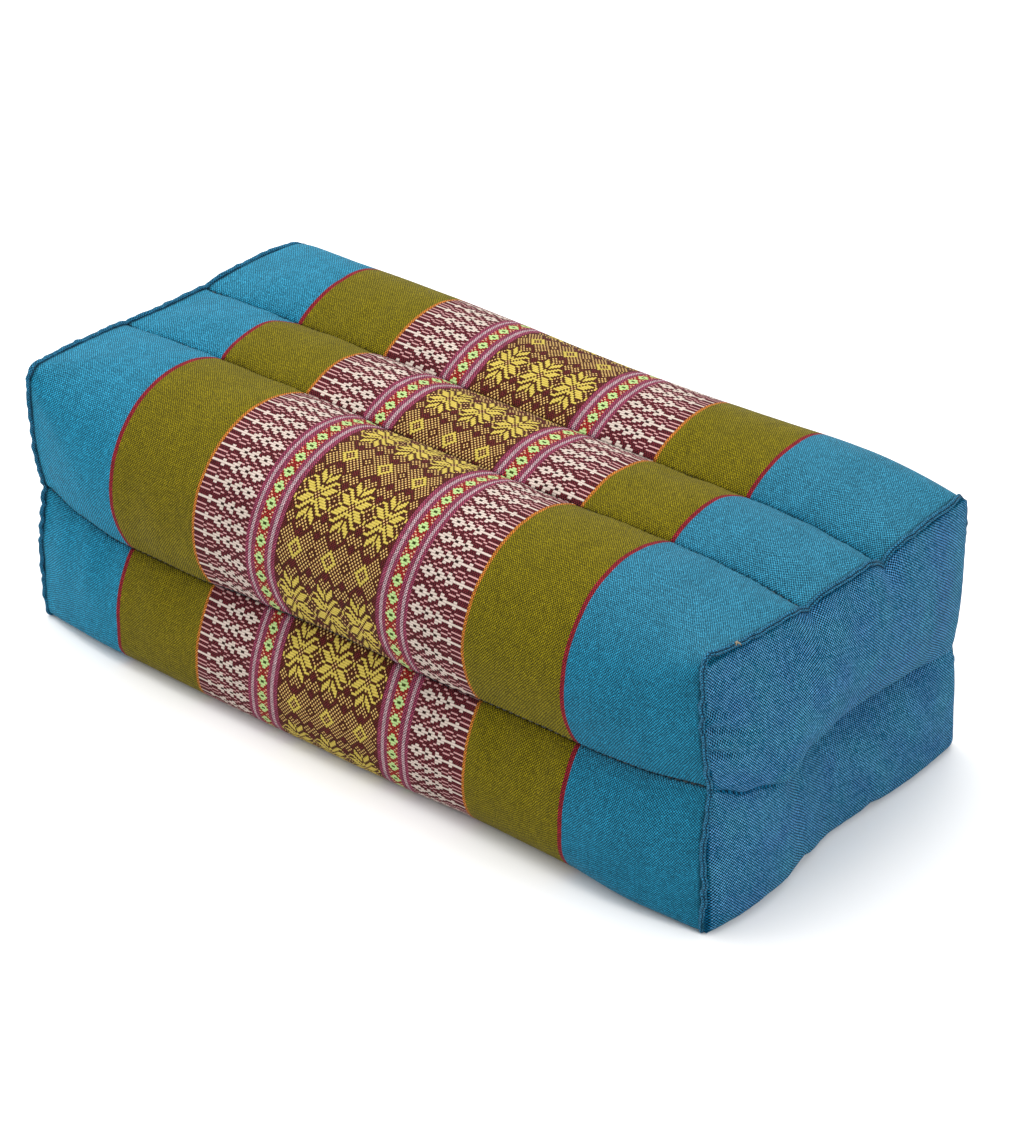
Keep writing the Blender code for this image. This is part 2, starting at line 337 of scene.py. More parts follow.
def linear(colour):
    """A colour as in a picture, 0 to 255, for the nodes. A value stays as it is."""
    if isinstance(colour, Value):
        return colour
    shares = [part / 255 for part in colour]
    return tuple(s / 12.92 if s <= 0.04045 else ((s + 0.055) / 1.055) ** 2.4 for s in shares) + (1.0,)


# ---------------------------------------------------------------- woven pattern, in chart cells

# One quarter of the star band, from the middle of a star (first row, first column) to the middle of the lattice
# below it (last row). It is mirrored both ways. X is a yellow float.
CELL = 0.895
STAR_COLUMNS = 10
STAR_ROWS = 22
STAR_CHART = (
    ".X....XX..X",
    "X.XXXX..X..",
    ".X.XXXX..X.",
    "XXX.XXXX..X",
    "X.XX.XXXX.X",
    "...XX....X.",
    ".X..XX..X..",
    ".XX..XXX...",
    ".XXX.......",
    "X.XXX...X..",
    "X..XX..X.X.",
    ".X..X.X.X.X",
    "X.X....X.X.",
    ".X.X....X..",
    "..X...X....",
    ".....X.X...",
    "....X.X.X..",
    "...X.X.X.X.",
    "X.X.X.X.X.X",
    "XX.X.X.X.X.",
    ".XX.X.X.X..",
    "X.XX.X.X..X",
    ".X.XX.X..X.",
)
# The white band beside it, from the stripes outwards: three flowers, a cross and dashes. Each row is used several
# times in a repeat. The ring of green flowers between the stripes has its own rows, from its middle outwards.
WHITE_ROWS = {
    "flower 0": "XX.XX.XX.XXXXXXX",
    "flower 1": ".XXX.XX.XX..X...",
    "flower 2": "..X..X..X.......",
    "dash 1": "X...X..X..XX.XXX",
    "dash 2": ".X.X..X..X..X...",
    "": "................",
}
RING_ROWS = {
    "flower 0": ".XX.",
    "flower 1": "XX..",
    "flower 2": "X...",
    "dash 1": "..X.",
    "dash 2": ".X..",
    "": "....",
}
# Dark middles of the flowers, on the rows of "flower 0"
WHITE_MIDDLES = "..X..X..X......."
RING_MIDDLES = "X..."
# Thick row and thin row for each row of the repeat
HALF_FLOWER = (("flower 0", ""), ("flower 1", ""), ("flower 2", ""), ("", "dash 1"), ("", "dash 2"))
FLOWER_REPEAT = (2 * (HALF_FLOWER + (("flower 2", "dash 1"), ("flower 1", "")))
                 + HALF_FLOWER + (("", "dash 1"), ("flower 2", ""), ("flower 1", "")))
FLOWER_OFFSET = 4
WHITE_CELL = 1.7875
RING_MIDDLE = 36.0
RING_COLUMNS = 4
# Powers of two above each chart's sets of bits
STAR_SCALE, WHITE_SCALE, RING_SCALE = 4096, 65536, 16
# Part of its row's height that a dash of the white band, or of the ring, takes up
DASH_HEIGHT = (0.02, 0.62)
SPOT_HEIGHT = (0.1, 0.65)
# How much of its cell a float that stands alone leaves bare, from 0 to 1
BEAD = 0.30

# Warp stripes from the middle out: name, where each ends (mm)
STRIPES = (
    ("stars", 27.8), ("magenta", 29.8), ("grey", 31.5), ("magenta", 33.3), ("red", 38.7), ("magenta", 40.8),
    ("grey", 42.3), ("magenta", 44.0), ("white", 72.6), ("orange", 74.0), ("olive", 120.1), ("line", 122.1),
    ("blue", 400.0),
)
STARS_END = 27.4
WHITE_BAND = (44.0, 72.6)
STRIPE_COLOURS = {
    "stars": (86, 28, 26),
    "magenta": (136, 58, 82),
    "grey": (170, 142, 148),
    "red": (142, 36, 30),
    "white": (86, 26, 33),
    "orange": (178, 108, 38),
    "olive": (112, 101, 5),
    "line": (132, 30, 40),
    "blue": (29, 116, 147),
}
LEFT_BLUE = (31, 128, 161)
# The blue is painted paler and greyer on top, a painted sheen of the light from above
TOP_SHEEN_BLUE = (47, 121, 149)
TOP_SHEEN_LEFT_BLUE = (42, 126, 157)
# Floats of two tones
FLOAT_COLOURS = {
    "yellow": ((202, 181, 68), (216, 191, 98)),
    "ivory": ((206, 193, 178), (224, 203, 194)),
    "green": ((172, 208, 130), (200, 221, 150)),
}
LONE_YELLOW = (222, 186, 112)
# Painted shade on the ground beside the raised star floats, and how much of it
FLOAT_SHADE_COLOUR = (72, 38, 10)
FLOAT_SHADE_SHARE = 0.85
DASH_COLOUR = (208, 158, 156)
PIT_COLOUR = (48, 18, 14)
SPOT_COLOUR = (224, 182, 146)
HOLE_COLOUR = (58, 62, 10)
PANEL_BLUE = (6, 91, 128)
WELT_BLUE = (38, 108, 142)
WELT_SHADE = (9, 38, 58)
SEAM_THREAD = (20, 32, 38)
KNOT_THREAD = (124, 114, 94)
FLOOR_WHITE = (247, 247, 247)

WRAP_SURFACE = {"Roughness": 0.85, "Specular IOR Level": 0.09, "Sheen Weight": 0.035, "Sheen Roughness": 0.40}
PANEL_SURFACE = {"Roughness": 0.85, "Specular IOR Level": 0.05, "Sheen Weight": 0.015, "Sheen Roughness": 0.45}
WELT_SURFACE = {"Roughness": 0.85, "Specular IOR Level": 0.12, "Sheen Weight": 0.04}
THREAD_SURFACE = {"Roughness": 0.7, "Sheen Weight": 0.15}
FLOOR_SURFACE = {"Roughness": 0.9, "Specular IOR Level": 0.1}
# Distance and strength of the relief
WRAP_BUMP = (0.00022, 0.55)
PLAIN_BUMP = (0.00025, 0.6)
THREAD_BUMP = (0.00008, 0.7)

# Places in the pattern (mm), and where they lie along each channel. The cloth isn't quite centred.
PATTERN_PLACES = (-189.0, -121.5, -74.0, -72.6, -44.0, -27.8, -17.9, 0.0, 17.9, 27.8, 33.3, 38.7, 44.0, 72.6, 74.0,
                  121.5, 205.0)
PATTERN_ALONG = {
    "front top": (-190.0, -121.997, -74.1, -72.7, -44.0, -27.9, -17.9, 0.3, 17.9, 26.6, 31.9, 36.9, 41.9, 67.9, 69.3,
                  114.8, 190.0),
    "middle top": (-190.0, -122.0, -74.7, -73.3, -43.8, -28.0, -18.8, -1.5, 15.7, 24.8, 30.1, 35.8, 40.9, 69.3, 70.7,
                   113.9, 190.0),
    "back top": (-190.0, -123.0, -75.5, -74.1, -45.0, -29.0, -21.0, -3.7, 13.8, 23.6, 28.6, 33.7, 38.8, 67.0, 68.4,
                 113.5, 190.0),
    "front low": (-190.0, -121.4, -75.1, -73.7, -45.0, -29.0, -20.0, -2.2, 15.7, 24.4, 29.6, 35.2, 40.4, 67.8, 69.2,
                  116.6, 192.735),
}
# Within these distances of the first seam (mm) the front top channel takes over the front low channel's places
FRONT_BLEND = (20.0, 80.0)
# Row of the pattern for places along the cloth of each channel, from its first seam (mm)
CLOTH_TO_ROW = {
    "front top": ((3.4, 54.4), (12.5, 47.6), (18.0, 43.2), (21.5, 40.2), (30.3, 32.2), (41.0, 22.0), (53.1, 10.3),
                  (64.0, 0.0), (85.5, -22.0), (105.9, -44.0), (120.2, -58.0)),
    "middle top": ((0.0, 28.0), (6.0, 22.0), (26.5, 0.0), (51.9, -25.0)),
    "back top": ((0.0, 18.2), (18.2, 0.0), (37.5, -22.0), (59.0, -44.0), (128.9, -113.0)),
    "back low": ((0.0, 0.0), (130.0, -129.0)),
    "middle low": ((0.0, 0.0), (60.0, -59.0)),
    "front low": ((0.0, 129.0), (87.0, 22.0), (110.0, 0.0), (123.6, -13.5)),
}
# How many times its end rows' distance a table goes on straight
BEYOND = 100


def bits_of(text):
    return sum(1 << index for index, mark in enumerate(text) if mark == "X")


def beside(chart, row, column, every=False):
    """True where a gap of the chart has an X on one of its four sides, or on every side, counting mirrored copies."""
    if chart[row][column] == "X":
        return False
    marks = []
    for other_row, other_column in ((row - 1, column), (row + 1, column), (row, column - 1), (row, column + 1)):
        other_row = STAR_ROWS - abs(STAR_ROWS - abs(other_row))
        other_column = STAR_COLUMNS - abs(STAR_COLUMNS - abs(other_column))
        marks.append(chart[other_row][other_column] == "X")
    return all(marks) if every else any(marks)


def star_rows():
    """For each row of the chart the bits of its floats, of the ground beside floats that gets painted shade, and of
    the floats that stand alone."""
    ground = ["".join("." if mark == "X" else "X" for mark in row) for row in STAR_CHART]
    places = [[(r, c) for c in range(STAR_COLUMNS + 1)] for r in range(STAR_ROWS + 1)]
    float_shade = ["".join("X" if beside(STAR_CHART, r, c) else "." for r, c in row) for row in places]
    alone = ["".join("X" if beside(ground, r, c, every=True) else "." for r, c in row) for row in places]
    return [tuple(bits_of(marks) for marks in row) for row in zip(STAR_CHART, float_shade, alone)]


def flower_rows(patterns, middles):
    """For each row of the repeat the bits of its thick marks, of its thin marks and of the flowers' middles."""
    return [(bits_of(patterns[thick]), bits_of(patterns[thin]), (thick == "flower 0") * bits_of(middles))
            for thick, thin in FLOWER_REPEAT]


CLOTH_TONE = 0.74
THREAD = 0.58
WEFT_TONE = 0.28
WARP_TONE = 1.72
CROSSING_TONE = 0.225
THREAD_TONE = 0.04
SLUB_TONE = 0.20
# How far the threads wander, and how much darker the weft is than in the wrap
WRAP_UNEVEN, PANEL_UNEVEN = 0.8, 0.4
PANEL_CONTRAST = 1.35
PANEL_THREADS = 0.92


def plain_weave(n, u, v, uneven=WRAP_UNEVEN, contrast=1.0):
    """Tone and height of a plain weave with a dark weft: coloured warp and dark weft are on top by turns."""
    across, along = ((place + (n.noise((u * 0.45, v * 0.45, aside)) - 0.5) * uneven) / THREAD
                     for place, aside in ((u, 0.0), (v, 40.0)))
    slub = n.noise((u * 1.3, v * 0.14, 9.0)) + n.noise((u * 0.12, v * 1.3, 21.0))
    warp, weft = across.floor(), along.floor()
    rounded = abs(across.sine(2.0)) * abs(along.sine(2.0))
    crossing = n.scatter(warp, weft)
    middle, spread = (WEFT_TONE + WARP_TONE) / 2, (WARP_TONE - WEFT_TONE) / 2 * contrast
    # each crossing is painted darker towards its edges, painted shade of the rounded threads
    tone = ((warp + weft) % 2.0).ramp(0.0, 1.0, middle - spread, middle + spread) * rounded.ramp(0.0, 1.0, 0.84, 1.08)
    tone = tone * crossing.vary(CROSSING_TONE, 0.0, 1.0)
    tone = tone * n.scatter(warp, 0.0).vary(THREAD_TONE, 0.0, 1.0) * n.scatter(0.0, weft).vary(THREAD_TONE, 0.0, 1.0)
    return tone * slub.vary(SLUB_TONE, 0.7, 1.3), rounded * crossing.ramp(0.0, 1.0, 0.7, 1.0)


SEAM_SHADE = 0.70
# Where a seam's shade ends (mm)
SHADE_REACH = {"side": 0.6, "top": 0.8, "under": 0.6}
TICK_PITCH = 3.0
TICK_REACH = 0.75
TICK_WANDER = 2.5
END_SHADE = 0.55
FOLD_SHADE = 0.50


def seam_shade(n):
    """Deep shade in the sewn seams, drawn out into a short tick at each stitch, and beside the raised end seams."""
    along, distance = n.uv("Seam")
    stitch = (along + (n.noise((along, 0.0), 0.5, 1.0) - 0.5) * TICK_WANDER) / TICK_PITCH
    tick = abs(stitch.sine(2.0)) ** 6.0 * n.scatter(stitch.floor(), 7.0)
    amount = (distance / (tick * TICK_REACH + 1.0)).ramp(0.45, 1.15, 1.0, 0.0)
    at_end = abs(along).ramp(171.9, 172.9, 0.0, END_SHADE)
    return (1.0 - amount * SEAM_SHADE) * (1.0 - at_end)


def wrap_material():
    n = Nodes("wrap cloth")
    u, v = n.uv("Cloth")
    place = n.vector(u, v)
    u = u + (n.noise(place, 0.09, 1.0) - 0.5) * 0.5
    out = abs(u)
    # stripes
    # painted sheen: the blue is mixed towards a paler blue where the cloth faces up
    top_sheen = n.facing_up().ramp(0.45, 0.95)
    left_blue, right_blue = (n.mix(top_sheen, *pair) for pair in ((LEFT_BLUE, TOP_SHEEN_LEFT_BLUE),
                                                              (STRIPE_COLOURS["blue"], TOP_SHEEN_BLUE)))
    colours = {**STRIPE_COLOURS, "blue": n.mix(u > 0.0, left_blue, right_blue)}
    colour = colours["stars"]
    for (_, end), (name, _) in zip(STRIPES, STRIPES[1:]):
        colour = n.mix(out > end, colour, colours[name])
    row = (v + 0.5).floor()
    in_row = v + 0.5 - row
    # stars
    across = u / CELL + 0.5
    column = across.floor()
    bits = n.chart(star_rows(), row.mirrored(STAR_ROWS), STAR_SCALE)
    star, float_shade, alone = (part.bit(column.mirrored(STAR_COLUMNS)) for part in bits)
    bare = alone * (in_row.sine(2.0) * (across - column).sine(2.0) < BEAD)
    in_stars = out < STARS_END
    star, float_shade = star * in_stars * (1.0 - bare), float_shade * in_stars
    # white band and green rings
    repeat_row = (row + FLOWER_OFFSET) % len(FLOWER_REPEAT)
    column = ((out - WHITE_BAND[0]) / WHITE_CELL).floor()
    bits = n.chart(flower_rows(WHITE_ROWS, WHITE_MIDDLES), repeat_row, WHITE_SCALE)
    white, dash, pit = (part.bit(column) * out.between(*WHITE_BAND) for part in bits)
    column = (abs(out - RING_MIDDLE) / CELL).floor()
    bits = n.chart(flower_rows(RING_ROWS, RING_MIDDLES), repeat_row, RING_SCALE)
    ring, spot, hole = (part.bit(column) * (column < RING_COLUMNS - 0.5) for part in bits)
    dash, spot = dash * in_row.between(*DASH_HEIGHT), spot * in_row.between(*SPOT_HEIGHT)
    # floats over the stripes, of threads of two tones
    fine = n.noise((u, v), 1.1, 3.0, 0.7)
    yellow, ivory, green = (n.mix(fine.ramp(0.35, 0.65), *pair) for pair in FLOAT_COLOURS.values())
    yellow = n.mix(alone, yellow, LONE_YELLOW)
    # painted shade on the ground beside the floats first, then the floats and marks
    for amount, over in ((float_shade * FLOAT_SHADE_SHARE, FLOAT_SHADE_COLOUR), (star, yellow), (white, ivory), (dash, DASH_COLOUR),
                         (pit, PIT_COLOUR), (ring, green), (spot, SPOT_COLOUR), (hole, HOLE_COLOUR)):
        colour = n.mix(amount, colour, over)
    # tone of the plain weave, thread by thread, and of the floats, then broad unevenness
    figure = n.math("MINIMUM", star + white + dash + ring + spot, 1.0)
    weave, threads = plain_weave(n, u, v)
    # floats are painted darker towards their row's edges, painted shade of their rounding
    floats = fine.vary(0.10) * abs(in_row - 0.5).ramp(0.26, 0.5, 1.06, 0.52)
    tone = (floats + (1.0 - figure) * (weave - floats)) * n.noise(place, 0.05).vary(0.05) * CLOTH_TONE
    # relief: weave, raised floats that round over at their ends, and a little fuzz
    lifted = figure * (in_row.sine(2.0) * 0.5 + 0.5) * 1.3
    height = threads * (1.0 - figure * 0.6) + lifted + fine * 0.5
    return n.finish(colour, tone * seam_shade(n), WRAP_SURFACE, (height, *WRAP_BUMP))


def panel_material():
    """Plain blue cloth of the end panels. Their second coordinates are the distances from the fold and the edge."""
    n = Nodes("end panel cloth")
    u, v = n.uv("Cloth")
    from_fold, from_edge = n.uv("Seam")
    fine = n.noise((u, v * 1.6), 1.3, 3.0, 0.7)
    hue = n.noise((u, v, 50.0), 0.06)
    tone, threads = plain_weave(n, u * PANEL_THREADS, v * PANEL_THREADS, PANEL_UNEVEN, PANEL_CONTRAST)
    tone = tone * from_edge.ramp(0.6, 1.6, 1 - END_SHADE, 1.0) * from_fold.ramp(0.1, 1.1, 1 - FOLD_SHADE, 1.0)
    tone = tone * fine.vary(0.05) * n.noise((u, v), 0.045).vary(0.06)
    # brighter threads are painted paler, a painted highlight, and darker ones more saturated
    return n.finish(PANEL_BLUE, tone, PANEL_SURFACE, (threads + fine * 0.5, *PLAIN_BUMP),
                    hue=hue.ramp(0.3, 0.7, 0.488, 0.509), saturation=tone.ramp(0.2, 1.9, 1.12, 0.86))


def welt_material():
    """Blue cloth of the raised seams, folded and sewn, with painted shade in its crease and on the sides towards wrap
    and panel.

    Its cloth coordinates are the place round the end (mm) and the angle round the seam (degrees from outwards,
    growing towards the panel)."""
    n = Nodes("seam cloth")
    u, angle = n.uv("Cloth")
    v = angle * (math.radians(1) * WELT_RADIUS * 1000)
    tone, threads = plain_weave(n, u, v)
    fine = n.noise((u, v), 1.3, 3.0, 0.7)
    # painted shade in the crease, changing along the stitches, and on the sides towards wrap and panel
    crease = n.math("SMOOTH_MIN", abs(angle - WELT_CREASE).ramp(8.0, 22.0, 1.0, 0.0), 1.0, 0.1)
    dark = crease * abs(u.sine(5.6)).ramp(0.15, 0.6, 0.65, 1.0)
    wrap_side = (angle > 190.0) * angle.ramp(258.0, 290.0, 1.0, 0.0)
    panel_side = (angle < 190.0) * angle.ramp(100.0, 120.0)
    dark = n.math("MAXIMUM", dark, (wrap_side + panel_side) * 0.9)
    return n.finish(n.mix(dark, WELT_BLUE, WELT_SHADE), tone * fine.vary(0.1) * CLOTH_TONE, WELT_SURFACE,
                    (threads + fine * 0.6, *PLAIN_BUMP))


def thread_material(name, colour):
    """Twisted sewing thread."""
    n = Nodes(name)
    place = n.node("TexCoord", {}, "Object")
    twist = n.node("TexWave", {"Vector": place, "Scale": 900, "Distortion": 1.5}, 1, bands_direction="DIAGONAL")
    tone = twist.vary(0.2, 0.0, 1.0) * n.noise(place, 2500).vary(0.1)
    return n.finish(colour, tone, THREAD_SURFACE, (twist, *THREAD_BUMP))


def floor_material():
    n = Nodes("floor")
    tone = n.noise(n.node("TexCoord", {}, "Object"), 3.0).ramp(0.3, 0.7, 0.985, 1.0)
    return n.finish(FLOOR_WHITE, tone, FLOOR_SURFACE)


# ---------------------------------------------------------------- shape of the wrap


def part_way(value, low, high):
    """Share of the way from low to high, from 0 to 1."""
    return np.clip((value - low) / (high - low), 0, 1)


def smooth(share):
    return share * share * (3 - 2 * share)


def ease_out(distance, reach):
    return 1 - (1 - part_way(distance, 0, reach)) ** 2


def at_place(x, values):
    """A size of the left end, the middle and the right end, at x."""
    left, middle, right = values
    end = left if x < 0 else right
    return end + (middle - end) * ease_out(HALF_LENGTH - abs(x), SECTION_GROWTH)


def read_smooth(table, place, column=1):
    """A column of a table, read smoothly between its rows by the place in its first column."""
    index = np.clip(np.searchsorted(table[:, 0], place, side="left") - 1, 0, len(table) - 2)
    first, second = table[index], table[index + 1]
    share = smooth(part_way(place, first[..., 0], second[..., 0]))
    return first[..., column] + (second[..., column] - first[..., column]) * share


def read_fold(fold, across, column):
    return read_smooth(fold, across, FOLD_COLUMNS.index(column))


def sizes_at(x):
    sizes = {name: at_place(x, values) for name, values in SECTION.items()}
    sizes["front seam height"] -= read_smooth(FRONT_SEAM_DROP, x)
    sizes["bottom radius"] += read_smooth(BOTTOM_WEAR, x)
    return sizes


def groove(depth, distance, reach):
    return depth * np.maximum(0.0, 1 - distance / reach) ** GROOVE_POWER


def run_along(points):
    """Distance of each point along a line of points."""
    return np.concatenate(([0.0], np.cumsum(np.hypot(*np.diff(points, axis=0).T))))


def straight_line(start, end, share):
    """Points, normals and distances from the start at shares of a straight line, and its length."""
    length = math.hypot(*(end - start))
    along = (end - start) / length
    normal = np.tile((-along[1], along[0]), (len(share), 1))
    return start + along * (share * length)[:, None], normal, share * length, length


def cornered_line(start, corner, end, radius, share):
    """The same for two straight lines that meet in a rounded corner, with its middle at half of the way."""
    first, second = corner - start, end - corner
    first_run, second_run = math.hypot(*first) - radius, math.hypot(*second) - radius
    first, second = first / math.hypot(*first), second / math.hypot(*second)
    first_normal, second_normal = np.array((-first[1], first[0])), np.array((-second[1], second[0]))
    arc = radius * math.pi / 2
    halves = (first_run + arc / 2, arc / 2 + second_run)
    length = sum(halves)
    distance = np.where(share <= 0.5, halves[0] * 2 * share, length - halves[1] * 2 * (1 - share))
    turned = np.clip((distance - first_run) / radius, 0, math.pi / 2)
    normal = np.cos(turned)[:, None] * first_normal + np.sin(turned)[:, None] * second_normal
    point = corner - first * radius + second * radius + normal * radius
    point = np.where((distance <= first_run)[:, None], start + first * distance[:, None], point)
    point = np.where((distance >= first_run + arc)[:, None], end - second * (length - distance)[:, None], point)
    return point, normal, distance, length


def channel_section(name, x, share):
    """One channel of the section at x: (y, z) points at shares of the way between its seams."""
    size = sizes_at(x)
    front, back, top = -size["front width"], size["back width"], size["top height"]
    seams = {
        "side front": (front, size["front seam height"]), "side back": (back, size["back seam height"]),
        "top front": (-TOP_SEAM_OFFSET, top - read_smooth(TOP_SEAM_DROP, x)), "top back": (TOP_SEAM_OFFSET, top),
        "under front": (-TOP_SEAM_OFFSET, 0.0), "under back": (TOP_SEAM_OFFSET, 0.0),
    }
    corners = {
        "front top": (front, top, "front top radius"), "back top": (back, top, "back top radius"),
        "back low": (back, 0.0, "bottom radius"), "front low": (front, 0.0, "bottom radius"),
    }
    start, end = (np.array(seams[seam]) for seam in CHANNEL_SEAMS[name])
    if name in corners:
        *corner, radius = corners[name]
        line = cornered_line(start, np.array(corner), end, size[radius], share)
    else:
        line = straight_line(start, end, share)
    point, normal, distance, length = line
    *crowns, wave, phase = CROWN[name]
    inside = ease_out(HALF_LENGTH - abs(x), SECTION_GROWTH)
    crown = at_place(x, crowns) + wave * inside * math.sin(2 * math.pi * (x / UNEVEN_LENGTH + phase))
    dip = 0.0
    for seam, away in zip(CHANNEL_SEAMS[name], (distance, length - distance)):
        depths, reaches = GROOVES[seam]
        dip = dip + groove(at_place(x, depths), away, at_place(x, reaches))
    free = 1 + np.minimum(normal[:, 1], 0.0)
    lift = crown * np.sin(math.pi * distance / length) * free
    point = point + normal * (lift - dip)[:, None]
    if name == "front top":
        raised = at_place(x, CORNER_RISE) * np.exp((front - point[:, 0]) / CORNER_REACH)
        point[:, 1] += raised * part_way(point[:, 1], start[1], top) ** 3
    if name == "back top" and x < 0:
        sunk = BACK_DROP * math.exp(-(HALF_LENGTH + x) / BACK_DROP_REACH) * part_way(point[:, 0], start[0], back) ** 2
        point[:, 1] -= sunk * part_way(point[:, 1], end[1], top)
    return point


def fading_groove(depth, inside):
    """A notch of the outline, less and less of it further inside the panel."""
    return depth * np.exp(-np.maximum(inside - depth, 0.0) / NOTCH_FADE)


def end_shares(y, z, side):
    """Shares of the end panel's width and height inside its notched outline."""
    end = 0 if side < 0 else 2
    size = {name: values[end] for name, values in SECTION.items()}

    def dip(seam, away):
        depths, reaches = GROOVES[seam]
        return groove(depths[end], np.abs(away), reaches[end])

    seam = np.where(y < 0, size["front seam height"], size["back seam height"])
    half_width = size["front width"] - dip("side front", z - seam)
    top, low = size["top height"], 0.0
    for place, word in ((-TOP_SEAM_OFFSET, "front"), (TOP_SEAM_OFFSET, "back")):
        top = top - fading_groove(dip("top " + word, y - place), size["top height"] - z)
        low = low + fading_groove(dip("under " + word, y - place), z)
    return part_way(y, -half_width, half_width), part_way(z, low, top)


def seam_bow(y, z, side):
    """How far an end seam stands out past the half length."""
    half_width = SECTION["front width"][0]
    across, up = part_way(y, -half_width, half_width), part_way(z, 0, SECTION["top height"][0])
    bow = END_BOW * (1 - (2 * across - 1) ** 2)
    bow = bow + NOTCH_OUT[side] * up ** 8 * np.exp(-((np.abs(y) - TOP_SEAM_OFFSET) / NOTCH_REACH) ** 2)
    if side < 0:
        height, reach, depth = KINK
        bow = bow - depth * np.exp(-((z - height) / reach) ** 2) * part_way(across, KINK_WIDTH, 0)
    return bow * up + read_fold(FOLDS[side], across, "toe") * (1 - up)


def arch(share):
    return 1 - np.abs(2 * share - 1) ** SWELL_POWER


def relief(across, up, fold):
    """How far an end panel stands out past its seam: two swells, and the fold between them."""
    height, depth = read_fold(fold, across, "height"), read_fold(fold, across, "depth")
    above, below = part_way(up, height, 1), part_way(up, 0, height)
    upper = read_fold(fold, across, "swell above") * arch(above ** SWELL_SAG)
    upper = upper + depth * (1 - above) ** UNDERCUT_POWER
    lower = read_fold(fold, across, "swell below") * arch(below) + depth * below ** 3
    # away from the fold the lower swell is smoother than its table
    shares = np.linspace(-0.3, 1.3, 321)
    softening = np.exp(-(np.linspace(-0.3, 0.3, 121) / LOWER_SOFTNESS) ** 2)
    swell, sunk = (np.interp(across, shares, np.convolve(read_fold(fold, shares, name), softening / softening.sum(),
                                                         "same")) for name in ("swell below", "depth"))
    smoother = swell * arch(below) + sunk * below ** 3
    lower = lower + (smoother - lower) * (1 - below ** 6)
    edge = 1 - np.abs(2 * across - 1) ** PANEL_EDGE_POWER
    return edge * np.where(up > height, upper, lower)


def waves(seed, places, lengths, strengths, total=None):
    """Smooth random waves along a line of places, the same on each run. Round a closed line of a total length they
    meet where it closes."""
    source = np.random.default_rng(seed)
    result = np.zeros_like(places)
    for length, strength in zip(lengths, strengths):
        for _ in range(3):
            if total is None:
                wave = length * source.uniform(0.75, 1.3)
            else:
                wave = total / max(1, round(total / (length * source.uniform(0.8, 1.25))))
            result += strength / 3 * np.sin(2 * math.pi * (places / wave + source.random()))
    return result


# ---------------------------------------------------------------- meshes


def grid_faces(rows, columns, flip=False):
    """Indices of the corners of a grid's faces."""
    index = np.arange(rows * columns).reshape(rows, columns)
    a, b, c, d = index[:-1, :-1], index[1:, :-1], index[1:, 1:], index[:-1, 1:]
    return np.stack((a, d, c, b) if flip else (a, b, c, d), axis=-1).reshape(-1, 4)


def spread_grid(first, second):
    """A grid of pairs, of the first values along its rows and the second along its columns."""
    return np.stack(np.meshgrid(first, second, indexing="ij"), axis=-1)


def place_piece(name, mesh, material):
    mesh.materials.append(material)
    mesh.shade_smooth()
    piece = add_object(name, mesh)
    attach(piece, "root")
    return piece


def smooth_grid(name, points, uv, material, node, seam_uv=None, flip=False):
    """A smooth mesh over a grid of points, with its cloth coordinates. It is closed where uv has a column more."""
    columns = points.shape[1]
    corners = grid_faces(*uv.shape[:2], flip)
    row, column = np.divmod(corners, uv.shape[1])
    faces = row * columns + column % columns
    mesh = bpy.data.meshes.new(name)
    mesh.vertices.add(points.size // 3)
    mesh.vertices.foreach_set("co", points.reshape(-1).astype(np.float32))
    mesh.loops.add(faces.size)
    mesh.loops.foreach_set("vertex_index", faces.reshape(-1).astype(np.int32))
    mesh.polygons.add(len(faces))
    mesh.polygons.foreach_set("loop_start", (np.arange(len(faces)) * 4).astype(np.int32))
    mesh.update(calc_edges=True)
    mesh.validate()
    bake_uv = spread_grid(*(np.linspace(0.004, 0.996, count) for count in uv.shape[:2]))
    for title, places in (("Cloth", uv), ("Seam", seam_uv), ("OFBake", bake_uv)):
        if places is not None:
            places = places.reshape(-1, 2)[corners.reshape(-1)].astype(np.float32)
            mesh.uv_layers.new(name=title).data.foreach_set("uv", places.reshape(-1))
    piece = place_piece(name, mesh, material)
    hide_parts(node)
    return piece


def interpolate(values, places):
    """Smooth values between whole places along the first axis."""
    first = np.clip(np.floor(places).astype(int), 0, len(values) - 2)
    t = (places - first).reshape((-1,) + (1,) * (values.ndim - 1))
    before, after = np.clip(first - 1, 0, None), np.clip(first + 2, None, len(values) - 1)
    p0, p1, p2, p3 = values[before], values[first], values[first + 1], values[after]
    curve = (2 * p0 - 5 * p1 + 4 * p2 - p3) * t ** 2 + (3 * p1 - p0 - 3 * p2 + p3) * t ** 3
    return 0.5 * (2 * p1 + (p2 - p0) * t + curve)


# ---------------------------------------------------------------- the wrap's channels

SIMULATION_STEP = 0.0042
SIMULATION_FRAMES = 20
CLOTH_SETTINGS = {
    "vertex_group_mass": "held", "quality": 6, "mass": 0.2, "tension_stiffness": 30, "compression_stiffness": 30,
    "shear_stiffness": 12, "bending_stiffness": 0.6, "use_pressure": True, "uniform_pressure_force": 4.0,
}
SLACK = 0.0008
RESTING = 0.0025
MOST_MOVED = 0.006
X_STEP = 0.0008
SEAM_STEP = 0.0004
MIDDLE_STEP = 0.0026
STEP_GROWTH = 0.006
STITCH_PITCH = 0.0032
CREASE_DEPTH = 0.0013
CREASE_REACH = 0.0012
# The seams' creases and puckers fade out over this length at the ends
END_FADE = 0.004
# Which way the cloth is drawn in at each seam
INWARD = {
    "side front": (0.0, 1.0, 0.0),
    "side back": (0.0, -1.0, 0.0),
    "top front": (0.0, 0.0, -1.0),
    "top back": (0.0, 0.0, -1.0),
    "under front": (0.0, 0.0, 1.0),
    "under back": (0.0, 0.0, 1.0),
}
